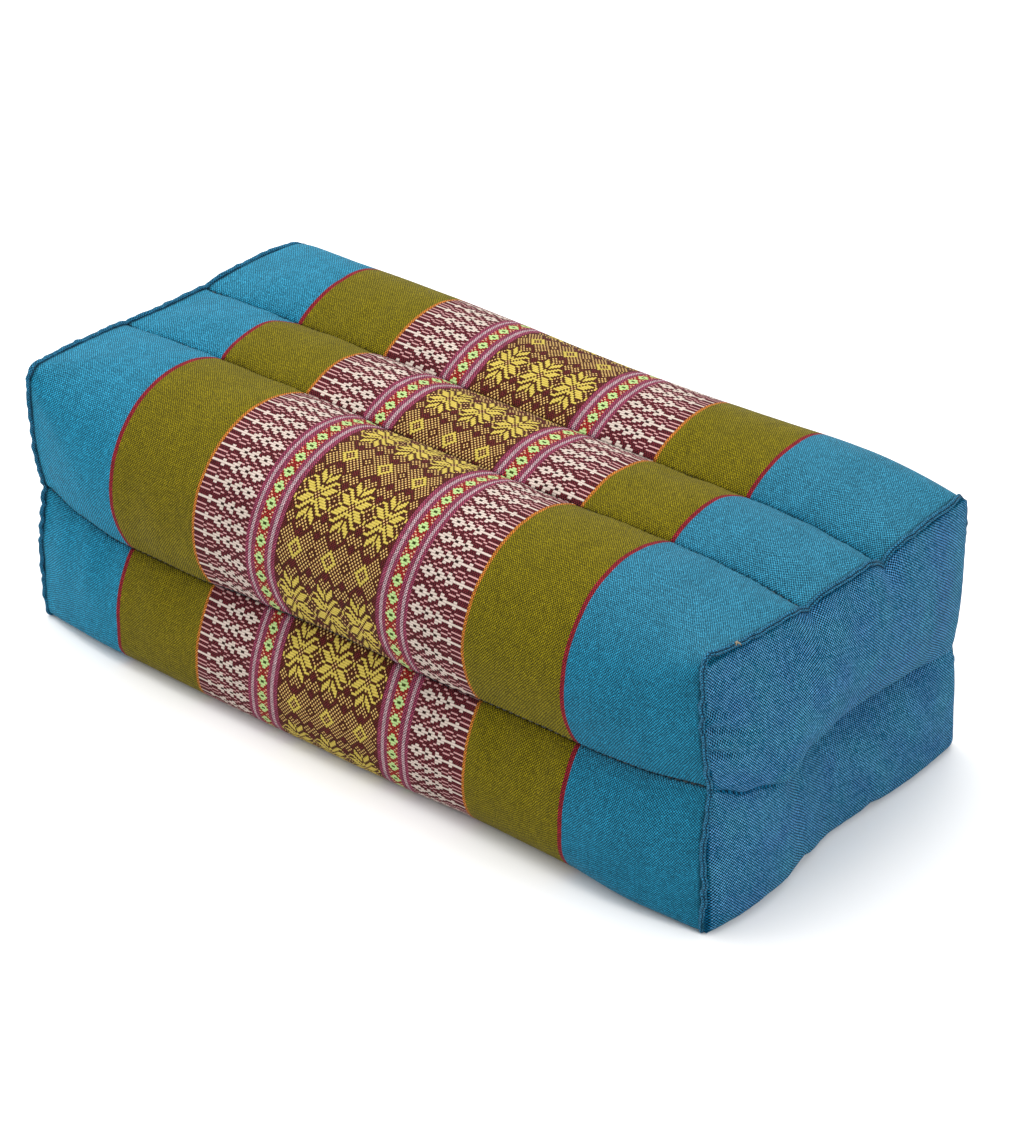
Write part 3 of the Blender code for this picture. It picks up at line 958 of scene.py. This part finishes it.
# Share of each channel's width at which the pattern stays in place
PATTERN_HOLD = {
    "front top": 1.0, "middle top": 0.5, "back top": 0.0, "back low": 0.0, "middle low": 0.5, "front low": 0.0,
}
TOOTH_DEPTH = 0.0008
TOOTH_REACH = 0.0030
PULL_REACH = 0.010
RIPPLE_DEPTH = 0.00025


def wrap_grid(name, xs, share):
    """Points of a channel's rest shape: a row for each place along the cushion."""
    grid = np.empty((len(xs), len(share), 3))
    for i, x in enumerate(xs):
        section = channel_section(name, x, share)
        reach = min(abs(x) / HALF_LENGTH, 1.0) ** BOW_POWER
        grid[i, :, 0] = x + math.copysign(reach, x) * seam_bow(*section.T, -1 if x < 0 else 1)
        grid[i, :, 1:] = section
    return grid


def grid_normals(grid):
    normal = np.cross(np.gradient(grid, axis=0), np.gradient(grid, axis=1))
    return normal / np.maximum(np.linalg.norm(normal, axis=-1, keepdims=True), 1e-12)


def simulate(name, grid):
    """Fills a channel by pressure with its seams held, and gives how far each of its points moved."""
    rows, columns = grid.shape[:2]
    inside = np.outer(*(np.sin(np.linspace(0, math.pi, count)) for count in (rows, columns))) ** 0.5
    start = grid - grid_normals(grid) * (SLACK * inside)[..., None]
    mesh = bpy.data.meshes.new(name + " simulated")
    mesh.from_pydata(start.reshape(-1, 3).tolist(), [], grid_faces(rows, columns).tolist())
    mesh.update()
    piece = add_object(mesh.name, mesh)
    fixed = grid[..., 2] < RESTING
    fixed[[0, -1]] = fixed[:, [0, -1]] = True
    piece.vertex_groups.new(name="held").add(np.flatnonzero(fixed).tolist(), 1.0, "REPLACE")
    cloth = piece.modifiers.new("cloth", "CLOTH")
    for title, setting in CLOTH_SETTINGS.items():
        setattr(cloth.settings, title, setting)
    cloth.settings.effector_weights.gravity = 0
    cloth.collision_settings.use_collision = False
    scene = bpy.context.scene
    for number in range(1, SIMULATION_FRAMES + 1):
        scene.frame_set(number)
    evaluated = piece.evaluated_get(bpy.context.evaluated_depsgraph_get())
    filled = np.empty(grid.size, dtype=np.float32)
    evaluated.data.vertices.foreach_get("co", filled)
    moved = filled.reshape(grid.shape) - grid
    bpy.data.objects.remove(piece, do_unlink=True)
    scene.frame_set(1)
    far = np.linalg.norm(moved, axis=-1, keepdims=True)
    return moved * np.minimum(1.0, MOST_MOVED / np.maximum(far, 1e-9))


def crowded(length, first, middle):
    """Places from 0 to a length, close together at both ends."""
    steps = []
    place = 0.0
    while place < length / 2:
        steps.append(place)
        place += first + (middle - first) * (1 - math.exp(-place / STEP_GROWTH))
    half = np.array(steps)
    half = half / (half[-1] + (half[-1] - half[-2]) / 2) * (length / 2)
    return np.concatenate((half, length - half[::-1]))


def end_fade(xs):
    return part_way(HALF_LENGTH - np.abs(xs), 0, END_FADE)


def seam_detail(xs, distance, seed):
    """How much of the crease reaches the cloth beside a sewn seam, and its dips: a small pucker at each stitch."""
    source = np.random.default_rng(seed)
    count = int(2 * HALF_LENGTH / STITCH_PITCH) + 3
    strength = source.uniform(0.35, 1.0, count)
    stitch = (xs + HALF_LENGTH) / STITCH_PITCH
    which = np.clip(np.floor(stitch).astype(int), 0, count - 1)
    tooth = np.sin(math.pi * (stitch - np.floor(stitch))) ** 2 * strength[which]
    slow = waves(seed + 1, xs, (0.021, 0.043), (0.00035, 0.0004))
    near = np.exp(-distance / CREASE_REACH)
    pull = (distance / PULL_REACH) * np.exp(1 - distance / PULL_REACH)
    return near, np.outer(slow, pull) - TOOTH_DEPTH * np.outer(tooth, np.exp(-distance / TOOTH_REACH) * (1 - near))


def pattern_columns(name, xs):
    """Place in the pattern (mm) for places along the cushion."""
    return np.interp(xs * 1000, PATTERN_ALONG.get(name, PATTERN_ALONG["front top"]), PATTERN_PLACES)[:, None]


def pattern_places(name, xs, places, run):
    """The cloth coordinates of a channel: place in the pattern (mm) and its row."""
    columns = pattern_columns(name, xs)
    if name == "front top":
        upper = smooth(part_way(places * 1000, *FRONT_BLEND))
        columns = upper * columns + (1 - upper) * pattern_columns("front low", xs)
    table = np.array(CLOTH_TO_ROW[name])
    ends = (table[0] + BEYOND * (table[0] - table[1]), table[-1] + BEYOND * (table[-1] - table[-2]))
    rows = np.interp(run * 1000, *np.vstack((ends[0], table, ends[1])).T)
    return np.stack((np.broadcast_to(columns, rows.shape), rows), axis=-1)


def build_channel(name, seed, material):
    """One channel of the wrap: its rest shape, filled by the simulation, then creased and puckered at its seams."""
    share_table = np.linspace(0, 1, 1201)
    arc_table = run_along(channel_section(name, 0.0, share_table))
    length = arc_table[-1]
    places = crowded(length, SEAM_STEP, MIDDLE_STEP)
    share = np.interp(places, arc_table, share_table)
    share[0], share[-1] = 0.0, 1.0
    xs = np.linspace(-HALF_LENGTH, HALF_LENGTH, int(2 * HALF_LENGTH / X_STEP) + 1)
    grid = wrap_grid(name, xs, share)
    steps = np.hypot(*np.diff(grid[..., 1:], axis=1).transpose(2, 0, 1))
    run = np.concatenate((np.zeros((len(xs), 1)), np.cumsum(steps, axis=1)), axis=1)
    run = run - PATTERN_HOLD[name] * (run[:, -1:] - length)
    coarse_rows = int(2 * HALF_LENGTH / SIMULATION_STEP) + 1
    coarse_columns = max(6, int(length / SIMULATION_STEP) + 1)
    coarse_share = np.interp(np.linspace(0, length, coarse_columns), arc_table, share_table)
    moved = simulate(name, wrap_grid(name, np.linspace(-HALF_LENGTH, HALF_LENGTH, coarse_rows), coarse_share))
    moved = interpolate(moved, (xs + HALF_LENGTH) / (2 * HALF_LENGTH) * (coarse_rows - 1))
    moved = interpolate(moved.transpose(1, 0, 2), places / length * (coarse_columns - 1)).transpose(1, 0, 2)
    grid = grid + moved
    normals = grid_normals(grid)
    dip = np.zeros(grid.shape[:2])
    for seam, distance, offset in zip(CHANNEL_SEAMS[name], (places, length - places), (0, 10)):
        near, puckers = seam_detail(xs, distance, seed + offset)
        dip += puckers
        grid = grid + np.outer(end_fade(xs), CREASE_DEPTH * near)[..., None] * np.array(INWARD[seam])
    dip += RIPPLE_DEPTH * np.outer(waves(seed + 5, xs, (0.035, 0.09), (1, 1)),
                                   waves(seed + 6, places, (0.03, 0.07), (1, 1)))
    under = np.clip(1 + normals[..., 2], 0, 1) ** 0.5
    grid = grid - normals * (dip * end_fade(xs)[:, None] * under)[..., None]
    grid[..., 2] = np.maximum(grid[..., 2], 0.0)
    first, last = (SHADE_REACH[seam.split()[0]] for seam in CHANNEL_SEAMS[name])
    seam_uv = spread_grid(xs * 1000, np.minimum(places / first, (length - places) / last) * 1000)
    piece = smooth_grid(name.replace(" ", "_") + "_channel", grid, pattern_places(name, xs, places, run), material,
                        "cushion_body", seam_uv)


def build_wrap():
    material = wrap_material()
    for number, name in enumerate(CHANNEL_SEAMS):
        build_channel(name, 100 + 20 * number, material)


# ---------------------------------------------------------------- sewing thread

STITCH_LENGTH = 0.0024
STITCH_RADIUS = 0.00030
STITCH_SIDES = 6
# How far from the left end the first stitch starts, and how far from the right end the last one has to
FIRST_STITCH, LAST_STITCH = 0.003, 0.005
# How far the stitches stand off the cloth, and how far they arch further
STITCH_OFF = 0.0002
STITCH_ARCH = 0.0003
# Along a stitch: share of its length, share of its full radius
STITCH_SHAPE = np.array(((0.0, 0.25), (0.06, 0.72), (0.22, 1.0), (0.5, 1.0), (0.78, 1.0), (0.94, 0.72), (1.0, 0.25)))
KNOT_Y = -0.065
KNOT_ABOVE = 0.105
# How far the knot's middle stands off the end seam's line along X and above the seam, and its threads' arch
KNOT_OFF = (0.0007, -0.0002)
KNOT_ARCH = 0.0005
# Both ends of each thread of the knot, from its middle
KNOT_THREADS = (
    ((-0.0010, -0.0007, 0.0002), (0.0012, 0.0004, 0.0003)),
    ((-0.0006, 0.0010, 0.0005), (0.0006, -0.0012, 0.0001)),
    ((0.0000, -0.0004, 0.0006), (0.0010, 0.0012, -0.0006)),
)


def stitch_points(start, end, bend):
    """Points of one stitch from start to end: a short thread with rounded ends, bent in the middle."""
    run = end - start
    along = run / np.linalg.norm(run)
    side = np.cross(along, (0.0, 0.0, 1.0))
    side = side / np.linalg.norm(side)
    angle = np.linspace(0, 2 * math.pi, STITCH_SIDES, endpoint=False)[:, None]
    ring = np.cos(angle) * side + np.sin(angle) * np.cross(side, along)
    stops, widths = STITCH_SHAPE.T
    centres = start + stops[:, None] * run + np.outer(np.sin(math.pi * stops), bend)
    return (centres[:, None, :] + STITCH_RADIUS * widths[:, None, None] * ring).reshape(-1, 3)


def stitch_piece(name, spans, material):
    """One mesh of all the stitches between pairs of points."""
    size = len(STITCH_SHAPE) * STITCH_SIDES
    index = np.arange(size).reshape(-1, STITCH_SIDES)
    after = np.roll(index, -1, axis=1)
    stitch = np.stack((index[:-1], after[:-1], after[1:], index[1:]), axis=-1).reshape(-1, 4).tolist()
    stitch += [index[0][::-1].tolist(), index[-1].tolist()]
    faces = [[i + number * size for i in face] for number in range(len(spans)) for face in stitch]
    mesh = bpy.data.meshes.new(name)
    mesh.from_pydata(np.concatenate([stitch_points(*span) for span in spans]).tolist(), [], faces)
    mesh.update()
    place_piece(name, mesh, material)


def build_seam_stitches(material):
    """Stitches at the bottom of each seam's crease, the seam that ends each channel."""
    starts = np.arange(FIRST_STITCH - HALF_LENGTH, HALF_LENGTH - LAST_STITCH, STITCH_PITCH)
    spans = []
    for name, (_, seam) in CHANNEL_SEAMS.items():
        inward = np.array(INWARD[seam])
        lines = []
        for xs in (starts, starts + STITCH_LENGTH):
            sunk = np.outer(CREASE_DEPTH * end_fade(xs) - STITCH_OFF, inward)
            lines.append(wrap_grid(name, xs, np.ones(1))[:, 0] + sunk)
        spans += [(start, end, -inward * STITCH_ARCH) for start, end in zip(*lines)]
    stitch_piece("seam_stitches", spans, material)


def build_knot(material):
    """A short end of thread knotted over the right end seam."""
    section = channel_section("front top", HALF_LENGTH, np.linspace(0, 1, 801))
    section = section[section[:, 1] > KNOT_ABOVE]
    z = np.interp(KNOT_Y, *section.T)
    x = HALF_LENGTH + seam_bow(np.array(KNOT_Y), z, 1)
    middle = np.array((x + KNOT_OFF[0], KNOT_Y, z + WELT_RADIUS + KNOT_OFF[1]))
    spans = [(middle + start, middle + end, (0.0, 0.0, KNOT_ARCH)) for start, end in KNOT_THREADS]
    stitch_piece("thread_knot", spans, material)


# ---------------------------------------------------------------- end panels

PANEL_COLUMNS = 120
PANEL_HALF_ROWS = 100
# Width and height of the panel, for the side that its puckers follow
PANEL_SIZE = (0.164, 0.1165)
BACK_SHOULDER = 0.0022
LOW_SHOULDER = 0.0042
PLAIN_SHOULDER = 0.0010
SHOULDER_RISE = 0.0020
SHOULDER_REACH = 0.030
# Short pleats beside the front edge: height above the floor, length, depth
PLEATS = (
    (0.0940, 0.018, 0.0020), (0.0868, 0.025, 0.0032), (0.0826, 0.018, 0.0022), (0.0768, 0.023, 0.0030),
    (0.0350, 0.010, 0.0008),
)
PLEAT_WIDTH = 0.0014
PLEAT_SLOPE = 0.36
# Share of the width up to which the fold is sewn, and what is added to the distance from it (mm) further on
SEWN_WIDTH = 0.34
UNSEWN = 3
FOLD_CREASE = 0.0012
FOLD_CREASE_REACH = 0.0018
PUCKER_DEPTH = 0.0006
PUCKER_REACH = 0.010
# Beside the back and the floor there are hardly any puckers
CALM_REACH = 0.02
CALM = 0.9
PANEL_RIPPLE = 0.0003
# From the edge inwards: where puckers, dips and ripples reach their full depth
PUCKER_RISE, DIP_RISE, RIPPLE_RISE = 0.002, 0.003, 0.02


def end_outline(count, side):
    """The end's bottom, top, front and back edges as dense (y, z) points, corner middle to corner middle."""
    parts = {name: channel_section(name, side * HALF_LENGTH, np.linspace(0, 1, count)) for name in CHANNEL_SEAMS}
    half = count // 2
    top = np.concatenate((parts["front top"][half:], parts["middle top"][1:], parts["back top"][1:half + 1]))
    back = np.concatenate((parts["back top"][half:], parts["back low"][1:half + 1]))[::-1]
    bottom = np.concatenate((parts["back low"][half:], parts["middle low"][1:], parts["front low"][1:half + 1]))[::-1]
    front = np.concatenate((parts["front low"][half:], parts["front top"][1:half + 1]))
    return bottom, top, front, back


def at_share(line, share):
    run = run_along(line)
    return np.stack([np.interp(share * run[-1], run, line[:, k]) for k in (0, 1)], axis=-1)


def patch_points(u, v, edges):
    """Points (y, z) inside the end's outline."""
    bottom, top, front, back = edges
    low, high, left, right = at_share(bottom, u), at_share(top, u), at_share(front, v), at_share(back, v)
    u, v = u[..., None], v[..., None]
    corners = (bottom[0] * (1 - u) + bottom[-1] * u) * (1 - v) + (top[0] * (1 - u) + top[-1] * u) * v
    return low * (1 - v) + high * v + left * (1 - u) + right * u - corners


def smoothed_shares(count, crowding):
    t = np.linspace(0, 1, count)
    return t - crowding / (2 * math.pi) * np.sin(2 * math.pi * t)


def build_panel(side, word, material):
    """One end panel, with a row of its grid along the fold."""
    fold = FOLDS[side]
    edges = end_outline(81, side)
    columns, rows = smoothed_shares(PANEL_COLUMNS, 0.5), smoothed_shares(PANEL_HALF_ROWS, 0.6)
    trial = np.linspace(0, 1, 241)
    v = []
    for u in columns:
        across, up = end_shares(*patch_points(np.full_like(trial, u), trial, edges).T, side)
        crossing = np.interp(0.0, up - read_fold(fold, across, "height"), trial)
        v.append(np.concatenate((crossing * rows, crossing + (1 - crossing) * rows[1:])))
    v = np.array(v)
    points = patch_points(np.broadcast_to(columns[:, None], v.shape), v, edges)
    y, z = points[..., 0], points[..., 1]
    across, up = end_shares(y, z, side)
    width, height = 2 * SECTION["front width"][0], SECTION["top height"][0]
    from_edges = np.clip((across * width, (1 - across) * width, up * height, (1 - up) * height), 0, None)
    from_front, from_back, from_floor, _ = from_edges
    shoulder = np.maximum(BACK_SHOULDER * np.exp(-from_back / SHOULDER_REACH),
                          LOW_SHOULDER * np.exp(-from_floor / SHOULDER_REACH))
    shoulder = np.maximum(shoulder, PLAIN_SHOULDER) * np.prod(1 - np.exp(-from_edges / SHOULDER_RISE), axis=0)
    out = relief(across, up, fold) + seam_bow(y, z, side) + shoulder
    grid = np.stack((side * (HALF_LENGTH + out), y, z), axis=-1)
    normals = grid_normals(grid)
    normals = normals * (side * np.sign(normals[..., 0].mean()))
    # cloth coordinates: down the cloth from the fold
    middle = slice(PANEL_HALF_ROWS - 1, PANEL_HALF_ROWS)
    steps = np.linalg.norm(np.diff(grid, axis=1), axis=-1)
    down = np.concatenate((np.zeros((PANEL_COLUMNS, 1)), np.cumsum(steps, axis=1)), axis=1)
    uv = np.stack((y, down - down[:, middle] + z[:, middle]), axis=-1) * 1000
    # crease along the fold, and the pleats
    from_fold = np.abs(up - read_fold(fold, across, "height")) * height
    crease = FOLD_CREASE * np.exp(-from_fold / FOLD_CREASE_REACH)
    for place, length, depth in PLEATS:
        drawn = np.exp(-((z - place + PLEAT_SLOPE * from_front) / PLEAT_WIDTH) ** 2)
        crease = crease + depth * drawn * part_way(length - from_front, 0, length)
    # puckers drawn in by the end seam, and soft ripples
    edge = from_edges.min(axis=0)
    around = np.where(np.minimum(across, 1 - across) * PANEL_SIZE[0] < np.minimum(up, 1 - up) * PANEL_SIZE[1], z, y)
    pucker = waves(7 + side, around, (0.0065, 0.012, 0.03), (0.5, 0.7, 0.6))
    calm = CALM * np.exp(-np.minimum(from_back, from_floor) / CALM_REACH)
    pucker = pucker * part_way(edge, 0, PUCKER_RISE) * np.exp(-edge / PUCKER_REACH) * (1 - calm)
    ripple = waves(31 + side, y + 0.5 * z, (0.03, 0.06), (0.6, 0.8)) * part_way(edge, 0, RIPPLE_RISE)
    dip = crease + PUCKER_DEPTH * pucker + PANEL_RIPPLE * ripple
    grid = grid - normals * (dip * part_way(edge, 0, DIP_RISE))[..., None]
    sewn = np.exp(-(across / SEWN_WIDTH) ** 6)
    seam_uv = np.stack((from_fold * 1000 + (1 - sewn) * UNSEWN, edge * 1000), axis=-1)
    piece = smooth_grid("end_panel_" + word + "_cloth", grid, uv, material, "end_panel_" + word, seam_uv,
                        flip=side < 0)


# ---------------------------------------------------------------- raised end seams

WELT_RADIUS = 0.0011
# Beside the back and at the bottom the seam is tucked in and thinner
WELT_TUCK = 0.0016
WELT_TUCKED_RADIUS = 0.75
WELT_SUNK = 0.0003
# Where the fold's crease runs, in degrees from outwards
WELT_CREASE = 52
# Half width of the crease (radians), and the shares of the radius that it is deep and that a stitch changes it by
CREASE_WIDTH, CREASE_SHARE, STITCH_SHARE = 0.32, 0.60, 0.14
# Beside the crease the seam is fuller: how far from it and how wide (radians), and by what share
FULL_PLACE, FULL_WIDTH, FULL_SHARE = 0.85, 0.4, 0.10
WELT_SIDES = 18
WELT_STEP = 0.0008
WELT_STITCH = 0.0028
# How far the seam's middle stands off the outline, outwards and along X
WELT_OFF = (0.0004, 0.0002)


def welt_path(side):
    """Points of the end seam and their outward normals, evenly spaced, starting at the front seam."""
    share = np.linspace(0, 1, 400)
    outline = np.concatenate([channel_section(name, side * HALF_LENGTH, share)[:-1] for name in CHANNEL_SEAMS])
    closed = np.concatenate((outline, outline[:1]))
    total = run_along(closed)[-1]
    places = np.linspace(0, total, int(total / WELT_STEP), endpoint=False)
    points = at_share(closed, places / total)
    ahead = np.roll(points, -3, axis=0) - np.roll(points, 3, axis=0)
    ahead /= np.hypot(*ahead.T)[:, None]
    return places, points, np.stack((-ahead[:, 1], ahead[:, 0]), axis=-1), total


def build_welt(side, word, material):
    """The raised seam round one end: a folded ridge with a crease pinched at its stitches."""
    places, points, normal, total = welt_path(side)
    y, z = points.T
    upright = part_way(np.abs(y), 0.074, 0.078)
    lift = waves(50 + side, places, (0.004, 0.009, 0.024), (0.00006, 0.00012, 0.0002), total) * (1 + 0.8 * upright)
    shift = waves(60 + side, places, (0.0035, 0.008, 0.03), (0.00010, 0.00032, 0.0004), total) * (1 + upright)
    radius = WELT_RADIUS * (1 + waves(70 + side, places, (0.0045, 0.011), (0.09, 0.10), total))
    pinch = np.abs(np.sin(math.pi * round(total / WELT_STITCH) * places / total)) ** 0.6
    tucked = smooth(np.maximum(part_way(y, 0.070, 0.078), part_way(z, 0.012, 0.004)))
    radius = radius * (1 - (1 - WELT_TUCKED_RADIUS) * tucked)
    angle = np.linspace(0, 2 * math.pi, WELT_SIDES, endpoint=False)
    gap = np.abs((angle - math.radians(WELT_CREASE) + math.pi) % (2 * math.pi) - math.pi)
    dent = np.exp(-(gap / CREASE_WIDTH) ** 2)
    reach = radius[:, None] * (1 - np.outer(CREASE_SHARE - STITCH_SHARE * pinch, dent))
    reach = reach * (1 + FULL_SHARE * np.exp(-((gap - FULL_PLACE) / FULL_WIDTH) ** 2))
    outward = reach * np.cos(angle) + (WELT_OFF[0] + lift - WELT_SUNK * tucked)[:, None]
    along_x = reach * np.sin(angle) + (WELT_OFF[1] + shift - WELT_TUCK * tucked)[:, None]
    x = side * (HALF_LENGTH + seam_bow(y, z, side)[:, None] + along_x)
    ring = points[:, None] + normal[:, None] * outward[..., None]
    grid = np.stack((x, ring[..., 0], np.maximum(ring[..., 1], 0.0)), axis=-1).transpose(1, 0, 2)
    uv = np.stack(np.meshgrid(np.append(places, total) * 1000, np.linspace(0, 360, WELT_SIDES + 1)), axis=-1)
    smooth_grid("seam_welt_" + word + "_cloth", np.concatenate((grid, grid[:1])), uv, material,
                "seam_welt_" + word, flip=side > 0)


# ---------------------------------------------------------------- scene

build_camera()
build_lights()
build_wrap()
build_seam_stitches(thread_material("seam thread", SEAM_THREAD))
build_knot(thread_material("knot thread", KNOT_THREAD))
panel_cloth, welt_cloth = panel_material(), welt_material()
for side, word in ((-1, "left"), (1, "right")):
    build_panel(side, word, panel_cloth)
    build_welt(side, word, welt_cloth)

bpy.ops.mesh.primitive_plane_add(size=8)
floor = bpy.context.object
floor.name = floor.data.name = "floor"
floor.data.materials.append(floor_material())
